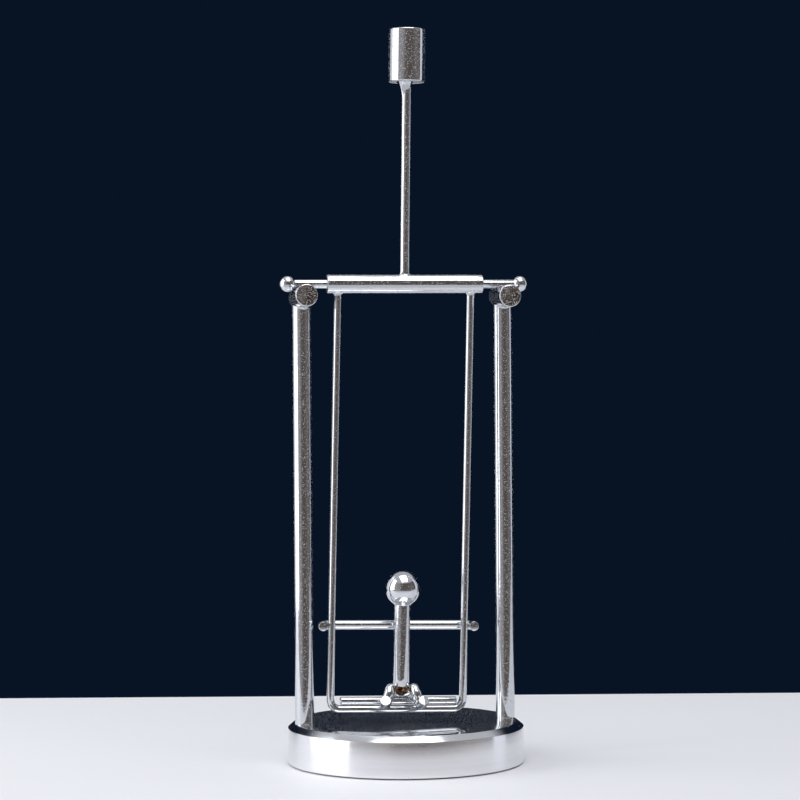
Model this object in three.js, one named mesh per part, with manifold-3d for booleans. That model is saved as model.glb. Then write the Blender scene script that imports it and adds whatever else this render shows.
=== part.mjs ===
// A balance toy for a desk: a small figure sits on a wire swing that hangs from a
// loose axle, and a counterweight on a rod above the axle slows the swing down.
// Millimetres, +Z up, the axle along X, the figure faces -Y.
// The origin is the middle of the foot, on the surface that the toy stands on.

import * as THREE from 'three';
import { mergeVertices } from 'three/addons/utils/BufferGeometryUtils.js';
import Module from 'manifold-3d';

const wasm = await Module();
wasm.setup();

// Clearances
const pressGap = 0.15; // a rod or pin in the hole drilled for it
const jointGap = 0.25; // a piece shaped to sit against its neighbour
const runningGap = 0.1; // the axle in its grooves

// Base: a turned aluminium disc with a foam pad let into its underside
const baseRadius = 40;
const baseTop = 14;
const topChamferWidth = 2.3;
const topChamferDrop = 1.8;
const footChamfer = 1;
const padRadius = 29;
const padThickness = 1.2;
const padStandsProud = 0.4;

// Stand: two posts, each held by a screw from below, with a bearing bar across its top
const postOffset = 34.7;
const postRadius = 3.2;
const postSocketDepth = 5;
const screwRadius = 1.9;
const screwLength = 10;
const tappedDepth = 8;
const screwHeadRadius = 3.5;
const screwHeadHeight = 3.6;
const screwHeadInset = 1;
const hexKeyRadius = 1.7;
const hexKeyDepth = 2;
const bearingRadius = 3.75;
const bearingLength = 17;
const bearingForward = 3.6; // the bar reaches further out in front of its post
const bearingHeight = 158;
const bearingBevel = 0.35;
const leftDroop = 3; // degrees, each bar's nose a little low, as brazed
const rightDroop = 1;

// Axle with its end balls, lying loose in the grooves of the two bearing bars
const axleHeight = 162.05;
const axleForward = bearingForward; // it lies across the middle of the bars
const axleRadius = 1.5;
const axleBallRadius = 2.75;
const axleBallOffset = 39.9;

// Hub tube on the axle, with the swing frame below and the counterweight above
const hubRadius = 3.2;
const hubLength = 53.4;
const frameLean = 1.4; // degrees off square, as brazed
const rodLean = 0.9;
const restAngle = 0.55; // degrees, where the figure's weight makes the swing hang

// Swing frame: one bent wire, with the seat rod brazed along its lower bar
const wireRadius = 1.3;
const wireOffset = 22.8;
const wireBend = 3.2;
const barDepth = 143.7;
const seatDepth = barDepth - 2 * wireRadius - pressGap;
const seatLength = 40;
const seatShift = 0.5;

// Figure
const figureShift = 1; // it sits a little nearer to its left hand
const bodyForward = 1.5;
const headRadius = 6;
const headDepth = 102.8;
const neckOverlap = 1.2; // how far the cupped top of the body reaches round the head
const torsoRadius = 2.8;
const legRadius = 1.8;
const hipDepth = seatDepth - 3.1; // astride the seat rod, a little in front of it
// Bends of one leg wire from the hip out to the toes
const hip = { spread: 0, forward: 1, rise: 0 };
const buttock = { spread: 1.9, forward: 1.1, rise: 0.1 };
const thigh = { spread: 3.4, forward: 2.2, rise: 1.1 };
const knee = { spread: 4.2, forward: 3.6, rise: 1.3 };
const calf = { spread: 4.7, forward: 4.9, rise: -0.1 };
const shin = { spread: 5.3, forward: 5.2, rise: -2 };
const heel = { spread: 6, forward: 6.3, rise: -3.6 };
const sole = { spread: 6.4, forward: 7.9, rise: -2.9 };
const toe = { spread: 6.6, forward: 9.5, rise: -1.8 };
const armRadius = 1.6;
const armDepth = 115.6;
const armBack = wireRadius + armRadius + jointGap;
const armReach = 25.9;
const armBend = 2.4;
const handForward = 2;

// Upper rod and counterweight
const rodRadius = 1.6;
const rodSocket = 8;
const weightRadius = 6.2;
const weightBottom = 68.05;
const weightLength = 17.8;
const weightBevel = 0.4;

// Brazed joints
const brazeHeight = 1.2;
const hipBrazeHeight = 1.7; // above the foot of the body
const hipBrazeDrop = 1.2; // below the hips, in front of the legs
const hipBrazeSpread = 0.4;
const brazeSpread = 0.9;
const brazeWaist = 0.3; // the fillet's hollow, this far out and at this share of its height
const brazeWaistRise = 0.4;
const brazeEdge = 0.1;

// Facets round the base, a turned piece, a rod and a bent wire
const baseSides = 96;
const turnedSides = 64;
const tubeSides = 48;
const rodSides = 32;
const wireSides = 16;
const arcSlices = 8;
const legSlices = 48;

// A cutter runs on this far past the face that it opens
const overshoot = 1;
const weldDistance = 1e-4;

const finishes = {
  chrome: { color: 0xd7dade, roughness: 0.06, metalness: 1 },
  aluminium: { color: 0xc6c8ca, roughness: 0.32, metalness: 1 },
  steel: { color: 0x4a4b4e, roughness: 0.45, metalness: 0.9 },
  braze: { color: 0xb98a5c, roughness: 0.3, metalness: 1 },
  foam: { color: 0x17181a, roughness: 0.95, metalness: 0 },
};

const radians = THREE.MathUtils.degToRad;

function piece(name, geometry, finish) {
  const mesh = new THREE.Mesh(geometry, new THREE.MeshStandardMaterial(finishes[finish]));
  mesh.name = name;
  return mesh;
}

// Booleans

function toManifold(geometry) {
  const bare = geometry.clone();
  bare.deleteAttribute('normal');
  bare.deleteAttribute('uv');
  const merged = mergeVertices(bare, weldDistance);
  return new wasm.Manifold(new wasm.Mesh({
    numProp: 3,
    vertProperties: new Float32Array(merged.attributes.position.array),
    triVerts: new Uint32Array(merged.index.array),
  }));
}

function toGeometry(solid) {
  const mesh = solid.getMesh();
  const geometry = new THREE.BufferGeometry();
  geometry.setAttribute('position', new THREE.BufferAttribute(mesh.vertProperties, 3));
  geometry.setIndex(new THREE.BufferAttribute(mesh.triVerts, 1));
  geometry.computeVertexNormals();
  return geometry;
}

function cut(body, ...tools) {
  const left = tools.reduce((solid, tool) => solid.subtract(toManifold(tool)), toManifold(body));
  return toGeometry(left);
}

// Basic shapes, each about the Z axis unless it is turned afterwards

function turned(profile, sides) {
  const points = profile.map(([radius, height]) => new THREE.Vector2(radius, height));
  return new THREE.LatheGeometry(points, sides).rotateX(Math.PI / 2);
}

function rod(radius, bottom, top, sides = rodSides) {
  return turned([[0, bottom], [radius, bottom], [radius, top], [0, top]], sides);
}

function bevelledRod(radius, bottom, top, bevel, sides) {
  return turned([
    [0, bottom],
    [radius - bevel, bottom],
    [radius, bottom + bevel],
    [radius, top - bevel],
    [radius - bevel, top],
    [0, top],
  ], sides);
}

function ball(radius, sides) {
  return new THREE.SphereGeometry(radius, sides, sides / 2).rotateX(Math.PI / 2);
}

const alongX = (geometry) => geometry.rotateY(Math.PI / 2);
const alongY = (geometry) => geometry.rotateX(Math.PI / 2);

function wire(path, radius, steps = path.steps) {
  const section = new THREE.Shape();
  section.absarc(0, 0, radius, 0, 2 * Math.PI, false);
  return new THREE.ExtrudeGeometry(section, {
    extrudePath: path,
    steps,
    curveSegments: wireSides / 2,
    bevelEnabled: false,
  });
}

// The centre line of a bent wire: straight lines between the corners, and an arc at each corner.
// Its stations are one step apart, so that a long straight costs no more than one slice of an arc.
class BentLine extends THREE.Curve {
  constructor(corners, bend) {
    super();
    this.stations = [corners[0]];
    for (let i = 1; i < corners.length - 1; i += 1) {
      const back = corners[i - 1].clone().sub(corners[i]).normalize();
      const on = corners[i + 1].clone().sub(corners[i]).normalize();
      const half = back.angleTo(on) / 2;
      const center = corners[i].clone()
        .addScaledVector(back.clone().add(on).normalize(), bend / Math.sin(half));
      const spoke = corners[i].clone().addScaledVector(back, bend / Math.tan(half)).sub(center);
      const forward = back.clone().negate().multiplyScalar(bend);
      for (let k = 0; k <= arcSlices; k += 1) {
        const angle = (k / arcSlices) * (Math.PI - 2 * half);
        this.stations.push(center.clone()
          .addScaledVector(spoke, Math.cos(angle))
          .addScaledVector(forward, Math.sin(angle)));
      }
    }
    this.stations.push(corners[corners.length - 1]);
    this.steps = this.stations.length - 1;
  }

  getPoint(t, target = new THREE.Vector3()) {
    const index = Math.min(Math.floor(t * this.steps), this.steps - 1);
    return target.copy(this.stations[index]).lerp(this.stations[index + 1], t * this.steps - index);
  }

  getUtoTmapping(u) {
    return u;
  }
}

// A small collar of braze round a rod where it meets another piece, standing up from z = 0
function brazeCollar(rodAt, height = brazeHeight) {
  const inner = rodAt + pressGap;
  return turned([
    [inner, 0],
    [inner + brazeSpread, 0],
    [inner + brazeWaist, height * brazeWaistRise],
    [inner + brazeEdge, height],
    [inner, height],
    [inner, 0],
  ], rodSides);
}

// Stand

function baseDisc() {
  const foot = padStandsProud;
  const body = turned([
    [0, foot],
    [baseRadius - footChamfer, foot],
    [baseRadius, foot + footChamfer],
    [baseRadius, baseTop - topChamferDrop],
    [baseRadius - topChamferWidth, baseTop],
    [0, baseTop],
  ], baseSides);
  const recess = rod(padRadius + pressGap, -overshoot, padThickness + pressGap, turnedSides);
  const headSeat = foot + screwHeadInset + screwHeadHeight + pressGap;
  const holes = [-1, 1].flatMap((side) => [
    rod(postRadius + pressGap, baseTop - postSocketDepth, baseTop + overshoot),
    rod(screwRadius + jointGap, headSeat - overshoot, baseTop),
    rod(screwHeadRadius + jointGap, -overshoot, headSeat),
  ].map((hole) => hole.translate(side * postOffset, 0, 0)));
  return piece('base_disc', cut(body, recess, ...holes), 'aluminium');
}

function basePad() {
  return piece('base_pad', rod(padRadius, 0, padThickness, turnedSides), 'foam');
}

function post(side, name, droop) {
  const bottom = baseTop - postSocketDepth;
  const tappedHole = rod(screwRadius + pressGap, bottom - overshoot, bottom + tappedDepth);
  const saddle = alongY(rod(bearingRadius + jointGap, -bearingLength, bearingLength, tubeSides))
    .rotateX(radians(droop))
    .translate(0, 0, bearingHeight);
  const body = rod(postRadius, bottom, bearingHeight);
  const mesh = piece(`post_${name}`, cut(body, tappedHole, saddle), 'chrome');
  mesh.position.x = side * postOffset;
  return mesh;
}

function postScrew(side, name) {
  const seat = screwHeadHeight;
  const body = turned([
    [0, 0],
    [screwHeadRadius, 0],
    [screwHeadRadius, seat],
    [screwRadius, seat],
    [screwRadius, seat + screwLength],
    [0, seat + screwLength],
  ], rodSides);
  const keyHole = rod(hexKeyRadius, -overshoot, hexKeyDepth, 6);
  const mesh = piece(`post_screw_${name}`, cut(body, keyHole), 'steel');
  mesh.position.set(side * postOffset, 0, padStandsProud + screwHeadInset);
  return mesh;
}

// The bar that carries one end of the axle in a shallow round groove across its top
function bearing(side, name, droop) {
  const half = bearingLength / 2;
  const bar = alongY(bevelledRod(bearingRadius, -half, half, bearingBevel, turnedSides))
    .translate(0, -bearingForward, 0)
    .rotateX(radians(droop));
  const groove = alongX(rod(axleRadius + runningGap, -2 * bearingRadius, 2 * bearingRadius, tubeSides))
    .translate(0, -axleForward, axleHeight - bearingHeight);
  const mesh = piece(`bearing_${name}`, cut(bar, groove), 'chrome');
  mesh.position.set(side * postOffset, 0, bearingHeight);
  return mesh;
}

// Axle and hub, about the axle's own centre

function axleRod() {
  return piece('axle_rod', alongX(rod(axleRadius, -axleBallOffset, axleBallOffset)), 'chrome');
}

function axleBall(side, name) {
  const drilled = alongX(rod(axleRadius + pressGap, -2 * axleBallRadius, pressGap, tubeSides));
  const mesh = piece(`axle_ball_${name}`, cut(ball(axleBallRadius, rodSides), drilled), 'chrome');
  mesh.position.x = side * axleBallOffset;
  mesh.rotation.z = side > 0 ? 0 : Math.PI;
  return mesh;
}

function hubTube() {
  const half = hubLength / 2;
  const bore = axleRadius + pressGap;
  const tube = turned([
    [bore, -half],
    [hubRadius, -half],
    [hubRadius, half],
    [bore, half],
    [bore, -half],
  ], tubeSides);
  return piece('hub_tube', alongX(tube), 'chrome');
}

// The hub's own line, seen from a group that leans against it
function hubCutter(lean) {
  return alongX(rod(hubRadius + jointGap, -hubLength, hubLength, tubeSides)).rotateY(-radians(lean));
}

// Swing frame and seat

function swingWire() {
  const corners = [
    new THREE.Vector3(-wireOffset, 0, 0),
    new THREE.Vector3(-wireOffset, 0, -barDepth),
    new THREE.Vector3(wireOffset, 0, -barDepth),
    new THREE.Vector3(wireOffset, 0, 0),
  ];
  const bent = wire(new BentLine(corners, wireBend), wireRadius);
  return piece('swing_wire', cut(bent, hubCutter(frameLean)), 'chrome');
}

function wireBraze(side, name) {
  const mesh = piece(`wire_braze_${name}`, brazeCollar(wireRadius).rotateX(Math.PI), 'chrome');
  const hubRise = side * wireOffset * Math.tan(radians(frameLean));
  mesh.position.set(side * wireOffset, 0, hubRise - hubRadius - pressGap);
  mesh.rotation.y = -radians(frameLean);
  return mesh;
}

function seatRod() {
  const half = seatLength / 2;
  const mesh = piece('seat_rod', alongX(rod(wireRadius, -half, half)), 'chrome');
  mesh.position.set(seatShift, 0, -seatDepth);
  return mesh;
}

// Figure

function headBall() {
  const mesh = piece('head_ball', ball(headRadius, turnedSides / 2), 'chrome');
  mesh.position.set(figureShift, -bodyForward, -headDepth);
  return mesh;
}

function torsoRod() {
  const bottom = -hipDepth + legRadius + jointGap;
  const neckCup = ball(headRadius + jointGap, turnedSides / 2).translate(0, 0, -headDepth);
  const body = rod(torsoRadius, bottom, -headDepth - headRadius + neckOverlap);
  const legs = wire(legLine(), legRadius + jointGap, legSlices).translate(0, bodyForward, -hipDepth);
  const mesh = piece('torso_rod', cut(body, neckCup, legs), 'chrome');
  mesh.position.set(figureShift, -bodyForward, 0);
  return mesh;
}

// Both arms are one wire behind the swing, hooked forward round the outside of it at the hands.
function armWire() {
  const corners = [
    new THREE.Vector3(-armReach, -handForward, 0),
    new THREE.Vector3(-armReach, armBack, 0),
    new THREE.Vector3(armReach, armBack, 0),
    new THREE.Vector3(armReach, -handForward, 0),
  ];
  const mesh = piece('arm_wire', wire(new BentLine(corners, armBend), armRadius), 'chrome');
  mesh.position.z = -armDepth;
  return mesh;
}

// Both legs are one wire across the seat: over the knees, down to the heels and up at the toes.
function legLine() {
  const leg = [buttock, thigh, knee, calf, shin, heel, sole, toe];
  const at = (bend, side) => new THREE.Vector3(side * bend.spread, -bend.forward, bend.rise);
  return new THREE.CatmullRomCurve3([
    ...leg.map((bend) => at(bend, -1)).reverse(),
    at(hip, 0),
    ...leg.map((bend) => at(bend, 1)),
  ]);
}

function legWire() {
  const mesh = piece('leg_wire', wire(legLine(), legRadius, legSlices), 'chrome');
  mesh.position.set(figureShift, 0, -hipDepth);
  return mesh;
}

function hipBraze() {
  const bodyFoot = legRadius + jointGap;
  const inner = torsoRadius + pressGap;
  const lump = turned([
    [0, -hipBrazeDrop],
    [torsoRadius, -hipBrazeDrop],
    [inner + hipBrazeSpread, bodyFoot],
    [inner + brazeEdge, bodyFoot + hipBrazeHeight],
    [inner, bodyFoot + hipBrazeHeight],
    [inner, bodyFoot - pressGap],
    [0, bodyFoot - pressGap],
  ], rodSides).translate(0, -bodyForward, 0);
  const legs = wire(legLine(), legRadius + pressGap, legSlices);
  const mesh = piece('hip_braze', cut(lump, legs), 'braze');
  mesh.position.set(figureShift, 0, -hipDepth);
  return mesh;
}

// Upper rod and counterweight

function upperRod() {
  const top = weightBottom + rodSocket - pressGap;
  return piece('upper_rod', cut(rod(rodRadius, 0, top), hubCutter(rodLean)), 'chrome');
}

function rodBraze() {
  const mesh = piece('rod_braze', brazeCollar(rodRadius), 'chrome');
  mesh.position.z = hubRadius + pressGap;
  return mesh;
}

function counterweight() {
  const top = weightBottom + weightLength;
  const body = bevelledRod(weightRadius, weightBottom, top, weightBevel, turnedSides);
  const socket = rod(rodRadius + pressGap, weightBottom - overshoot, weightBottom + rodSocket);
  return piece('counterweight', cut(body, socket), 'chrome');
}

function weightBraze() {
  const mesh = piece('weight_braze', brazeCollar(rodRadius).rotateX(Math.PI), 'chrome');
  mesh.position.z = weightBottom - pressGap;
  return mesh;
}

// Assembly

function stand() {
  const group = new THREE.Group();
  group.add(baseDisc(), basePad());
  for (const [side, name, droop] of [[-1, 'left', leftDroop], [1, 'right', rightDroop]]) {
    group.add(post(side, name, droop), postScrew(side, name), bearing(side, name, droop));
  }
  return group;
}

function swing() {
  const frame = new THREE.Group();
  frame.rotation.y = radians(frameLean);
  frame.add(swingWire(), wireBraze(-1, 'left'), wireBraze(1, 'right'), seatRod());
  frame.add(headBall(), torsoRod(), armWire(), legWire(), hipBraze());

  const balance = new THREE.Group();
  balance.rotation.y = radians(rodLean);
  balance.add(upperRod(), rodBraze(), counterweight(), weightBraze());

  const group = new THREE.Group();
  group.position.set(0, -axleForward, axleHeight);
  group.rotation.x = radians(restAngle);
  group.add(axleRod(), axleBall(-1, 'left'), axleBall(1, 'right'), hubTube(), frame, balance);
  return group;
}

const toy = new THREE.Group();
toy.add(stand(), swing());

export default toy;
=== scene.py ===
import math

import bmesh
import bpy
from mathutils import Matrix, Vector, noise


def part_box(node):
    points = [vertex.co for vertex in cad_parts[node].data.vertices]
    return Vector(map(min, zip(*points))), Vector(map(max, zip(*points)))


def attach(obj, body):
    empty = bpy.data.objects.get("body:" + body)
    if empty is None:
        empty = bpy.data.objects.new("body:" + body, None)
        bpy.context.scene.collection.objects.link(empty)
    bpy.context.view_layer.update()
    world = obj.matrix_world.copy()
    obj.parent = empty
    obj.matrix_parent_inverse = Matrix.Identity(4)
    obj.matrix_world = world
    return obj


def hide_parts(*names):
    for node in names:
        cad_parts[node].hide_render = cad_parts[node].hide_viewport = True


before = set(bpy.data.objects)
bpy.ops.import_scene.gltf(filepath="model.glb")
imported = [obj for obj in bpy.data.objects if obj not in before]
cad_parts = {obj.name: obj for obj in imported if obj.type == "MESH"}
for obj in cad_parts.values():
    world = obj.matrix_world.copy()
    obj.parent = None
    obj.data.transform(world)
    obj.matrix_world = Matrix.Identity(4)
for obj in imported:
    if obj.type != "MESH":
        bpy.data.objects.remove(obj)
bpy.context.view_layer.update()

# Sizes are in millimetres and angles in degrees. The toy faces -Y and its axle lies along X.
mm = 0.001


def basisOf(origin, zAxis, xHint=(1, 0, 0)):
    z = Vector(zAxis).normalized()
    y = z.cross(Vector(xHint)).normalized()
    x = y.cross(z)
    basis = Matrix((x, y, z)).transposed().to_4x4()
    basis.translation = Vector(origin)
    return basis


def pointsOf(node, basis=Matrix.Identity(4)):
    toLocal = basis.inverted()
    return [toLocal @ v.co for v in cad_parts[node].data.vertices]


def sizeOf(node, basis=Matrix.Identity(4)):
    # lowest and highest corner, in millimetres, seen along the basis
    points = pointsOf(node, basis)
    low = Vector([min(p[i] for p in points) for i in range(3)]) / mm
    high = Vector([max(p[i] for p in points) for i in range(3)]) / mm
    return low, high


def middleOf(node):
    low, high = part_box(node)
    return (low + high) / 2


def lineOf(node, guess):
    # the line through the middles of a straight piece's two end faces
    points = sorted({tuple(round(c, 7) for c in v) for v in pointsOf(node)},
                    key=lambda p: Vector(p).dot(guess))
    ends = []
    for group in (points, points[::-1]):
        first = Vector(group[0])
        face = [Vector(p) for p in group if abs((Vector(p) - first).dot(guess)) < 0.6 * mm]
        ends.append(sum(face, Vector()) / len(face))
    return ends[0], ends[1]


axleMiddle = middleOf("axle_rod")
seatEnds = lineOf("seat_rod", Vector((1, 0, 0)))
swingX = (seatEnds[1] - seatEnds[0]).normalized()
drop = middleOf("seat_rod") - axleMiddle
swingZ = -(drop - drop.dot(swingX) * swingX).normalized()
swingBasis = basisOf(axleMiddle, swingZ, swingX)
balanceBasis = basisOf(axleMiddle, middleOf("counterweight") - axleMiddle)
hubBasis = basisOf(axleMiddle, (1, 0, 0), (0, 0, -1))
print("measured", [round(c, 4) for c in axleMiddle], [round(c, 4) for c in swingZ])


def lathe(profile, sides):
    # a closed turned shape about z; profile runs from the bottom middle to the top middle
    verts, faces, rings = [], [], []
    for radius, height in profile:
        if radius < 1e-6:
            rings.append([len(verts)])
            verts.append(Vector((0, 0, height)))
            continue
        rings.append(list(range(len(verts), len(verts) + sides)))
        for k in range(sides):
            turn = 2 * math.pi * k / sides
            verts.append(Vector((radius * math.cos(turn), radius * math.sin(turn), height)))
    for low, high in zip(rings, rings[1:]):
        faces += bridge(low, high, sides)
    return verts, faces


def bridge(low, high, sides):
    faces = []
    for k in range(sides):
        n = (k + 1) % sides
        if len(low) == 1 and len(high) > 1:
            faces.append((low[0], high[k], high[n])[::-1])
        elif len(high) == 1 and len(low) > 1:
            faces.append((low[k], low[n], high[0]))
        elif len(low) > 1:
            faces.append((low[k], low[n], high[n], high[k]))
    return faces


def arc(middleR, middleZ, radius, start, end, steps):
    # part of a rounded corner in a profile, angles from the outward direction
    return [(middleR + radius * math.cos(math.radians(start + (end - start) * k / steps)),
             middleZ + radius * math.sin(math.radians(start + (end - start) * k / steps)))
            for k in range(steps + 1)]


def roundedRod(radius, low, high, edge):
    # a rod whose end faces are flat, with a small turned radius round each
    return lathe([(0, low)] + arc(radius - edge, low + edge, edge, -90, 0, 4)
                 + arc(radius - edge, high - edge, edge, 0, 90, 4) + [(0, high)], 64)


def ballShape(radius, sides):
    profile = [(radius * math.cos(math.radians(a)), radius * math.sin(math.radians(a)))
               for a in [-90 + 180 * k / (sides // 2) for k in range(sides // 2 + 1)]]
    profile[0], profile[-1] = (0, -radius), (0, radius)
    return lathe(profile, sides)


def bentLine(corners, bend):
    # a wire's centre line: an arc of so many steps at every corner, and points every span or two between
    steps, span = 14, 2.0
    line = [Vector(corners[0])]
    for before, corner, after in zip(corners, corners[1:], corners[2:]):
        corner = Vector(corner)
        back, on = (Vector(before) - corner).normalized(), (Vector(after) - corner).normalized()
        half = back.angle(on) / 2
        middle = corner + (back + on).normalized() * bend / math.sin(half)
        spoke = corner + back * bend / math.tan(half) - middle
        forward = -back * bend
        for k in range(steps + 1):
            turn = (math.pi - 2 * half) * k / steps
            line.append(middle + spoke * math.cos(turn) + forward * math.sin(turn))
    line.append(Vector(corners[-1]))
    full = [line[0]]
    for a, b in zip(line, line[1:]):
        pieces = max(1, int((b - a).length / span))
        full += [a.lerp(b, (k + 1) / pieces) for k in range(pieces)]
    return full


def smoothLine(points, steps):
    # a curve through the points, for a wire bent freely
    line = []
    padded = [2 * points[0] - points[1]] + list(points) + [2 * points[-1] - points[-2]]
    for a, b, c, d in zip(padded, padded[1:], padded[2:], padded[3:]):
        for k in range(steps):
            t = k / steps
            line.append(0.5 * (2 * b + (c - a) * t + (2 * a - 5 * b + 4 * c - d) * t * t
                               + (3 * b - a - 3 * c + d) * t ** 3))
    return line + [Vector(points[-1])]


def sweep(line, radius, edge, sides):
    # a round wire along the line, with a small radius round each cut end
    tangents = [(line[min(i + 1, len(line) - 1)] - line[max(i - 1, 0)]).normalized()
                for i in range(len(line))]
    side = tangents[0].orthogonal().normalized()
    stations = []
    for i, (point, tangent) in enumerate(zip(line, tangents)):
        side = (side - side.dot(tangent) * tangent).normalized()
        stations.append((point, tangent, side.copy(), radius))
    first, last = stations[0], stations[-1]
    turns = [math.radians(90 * k / 4) for k in range(5)]
    startCap = [(first[0] - first[1] * edge * (math.sin(t) - 1), first[1], first[2],
                 radius - edge + edge * math.cos(t)) for t in turns[::-1]]
    endCap = [(last[0] + last[1] * edge * (math.sin(t) - 1), last[1], last[2],
               radius - edge + edge * math.cos(t)) for t in turns]
    inner = [s for s in stations[1:-1]
             if (s[0] - first[0]).length > edge and (s[0] - last[0]).length > edge]
    stations = startCap + inner + endCap
    verts, faces, rings = [line[0].copy()], [], [[0]]
    for point, tangent, across, size in stations:
        other = tangent.cross(across)
        rings.append(list(range(len(verts), len(verts) + sides)))
        for k in range(sides):
            turn = 2 * math.pi * k / sides
            verts.append(point + size * (across * math.cos(turn) + other * math.sin(turn)))
    rings.append([len(verts)])
    verts.append(line[-1].copy())
    for low, high in zip(rings, rings[1:]):
        faces += bridge(low, high, sides)
    return verts, faces


def fillet(rodRadius, surface, height, spread, seed, lump=0.12, sides=64, lean=0, hollow=0.1):
    # a collar of braze round a rod along z, drawn up against surface(x, y), which gives its z;
    # lean moves that share of it over to the -x side, and a small hollow makes it thinner
    verts, faces, loops = [], [], []
    steps, swell = 10, 0.05
    for k in range(sides):
        turn = 2 * math.pi * k / sides
        c, s = math.cos(turn), math.sin(turn)
        wander = noise.noise(Vector((c * 1.3 + seed, s * 1.3, seed * 0.7)))
        share = 1 - lean * c
        reach = rodRadius + spread * share * (1 + lump * 3 * wander)
        fall = height * share * (1 + lump * 4 * noise.noise(Vector((c * 1.1, s * 1.1 + seed, 3.1))))
        top = surface(reach * c, reach * s)
        corner = surface(rodRadius * c, rodRadius * s)
        low = corner - fall
        loop = [Vector((rodRadius * c, rodRadius * s, corner)),
                Vector((rodRadius * c, rodRadius * s, low))]
        for i in range(1, steps + 1):
            t = i / steps
            turnR, turnZ = rodRadius + hollow * (reach - rodRadius), corner - hollow * fall
            r = (1 - t) ** 2 * rodRadius + 2 * t * (1 - t) * turnR + t * t * reach
            z = (1 - t) ** 2 * low + 2 * t * (1 - t) * turnZ + t * t * top
            bulge = swell * spread * math.sin(math.pi * t)
            bulge *= 1 + 1.5 * noise.noise(Vector((c * 3 + seed, s * 3, t * 3)))
            loop.append(Vector(((r + bulge) * c, (r + bulge) * s, z)))
        loops.append(range(len(verts), len(verts) + len(loop)))
        verts += loop
    for k in range(sides):
        a, b = loops[k], loops[(k + 1) % sides]
        for i in range(len(a)):
            n = (i + 1) % len(a)
            faces.append((a[i], a[n], b[n], b[i])[::-1])
    return verts, faces


def meshFrom(shapes):
    # each shape is (verts, faces) in millimetres
    bm = bmesh.new()
    for verts, faces in shapes:
        made = [bm.verts.new(v * mm) for v in verts]
        for face in faces:
            bm.faces.new([made[i] for i in face])
    bmesh.ops.recalc_face_normals(bm, faces=bm.faces)
    return bm


# an edge that turns more than this many degrees stays crisp
crease = dict(base=25, turned=28, plain=32, table=40, braze=50, lump=60)


def makePiece(name, shapes, basis, finish, body, nodes, sharp=crease["plain"]):
    # the shapes lie along the basis, and become one mesh
    mesh = bpy.data.meshes.new(name)
    finishMesh(meshFrom(shapes), mesh, sharp)
    piece = bpy.data.objects.new(name, mesh)
    bpy.context.scene.collection.objects.link(piece)
    piece.matrix_world = basis
    for material in finish if isinstance(finish, list) else [finish]:
        mesh.materials.append(material)
    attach(piece, body)
    if nodes:
        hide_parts(*nodes)
    return piece


def finishMesh(bm, mesh, sharp):
    for face in bm.faces:
        face.smooth = True
    for edge in bm.edges:
        if len(edge.link_faces) == 2:
            edge.smooth = edge.calc_face_angle() < math.radians(sharp)
    bm.to_mesh(mesh)
    bm.free()


flat = 0.9  # a face is an end face when this much of its normal is along the axis


def finishEnds(piece):
    # the end faces take the piece's second material
    for polygon in piece.data.polygons:
        if abs(polygon.normal.z) > flat:
            polygon.material_index = 1


def cutAway(piece, cutters, sharp=crease["plain"]):
    # the cutters are shapes along the piece's own basis
    for shape in cutters:
        mesh = bpy.data.meshes.new("cutter")
        bm = meshFrom([shape])
        bm.to_mesh(mesh)
        bm.free()
        cutter = bpy.data.objects.new("cutter", mesh)
        bpy.context.scene.collection.objects.link(cutter)
        cutter.matrix_world = piece.matrix_world
        modifier = piece.modifiers.new("cut", "BOOLEAN")
        modifier.operation, modifier.solver, modifier.object = "DIFFERENCE", "EXACT", cutter
        bpy.context.view_layer.update()
        view = piece.evaluated_get(bpy.context.evaluated_depsgraph_get())
        result = bpy.data.meshes.new_from_object(view)
        piece.modifiers.clear()
        bm = bmesh.new()
        bm.from_mesh(result)
        bmesh.ops.dissolve_degenerate(bm, dist=1e-7, edges=bm.edges)
        finishMesh(bm, piece.data, sharp)
        bpy.data.meshes.remove(result)
        bpy.data.objects.remove(cutter)


def linear(hexColour):
    # an sRGB hex value as linear light, opaque
    parts = [int(hexColour[i:i + 2], 16) / 255 for i in (1, 3, 5)]
    return tuple(c / 12.92 if c <= 0.04045 else ((c + 0.055) / 1.055) ** 2.4 for c in parts) + (1.0,)


def addNode(tree, kind, settings=None, links=None, stops=()):
    # settings name the node's properties or sockets, links name sockets and what feeds them,
    # and stops are the places and colours along a ramp
    node = tree.nodes.new(kind)
    for key, value in (settings or {}).items():
        if isinstance(key, str) and hasattr(node, key):
            setattr(node, key, value)
        else:
            node.inputs[key].default_value = value
    for key, source in (links or {}).items():
        tree.links.new(source, node.inputs[key])
    for index, (position, colour) in enumerate(stops):
        elements = node.color_ramp.elements
        element = elements[index] if index < len(elements) else elements.new(position)
        element.position = position
        element.color = colour
    return node


def startMaterial(name, settings):
    material = bpy.data.materials.new(name)
    material.use_nodes = True
    tree = material.node_tree
    tree.nodes.clear()
    shader = addNode(tree, "ShaderNodeBsdfPrincipled", settings)
    addNode(tree, "ShaderNodeOutputMaterial", {}, {"Surface": shader.outputs[0]})
    place = addNode(tree, "ShaderNodeTexCoord").outputs["Object"]
    return material, tree, shader, place


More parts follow.
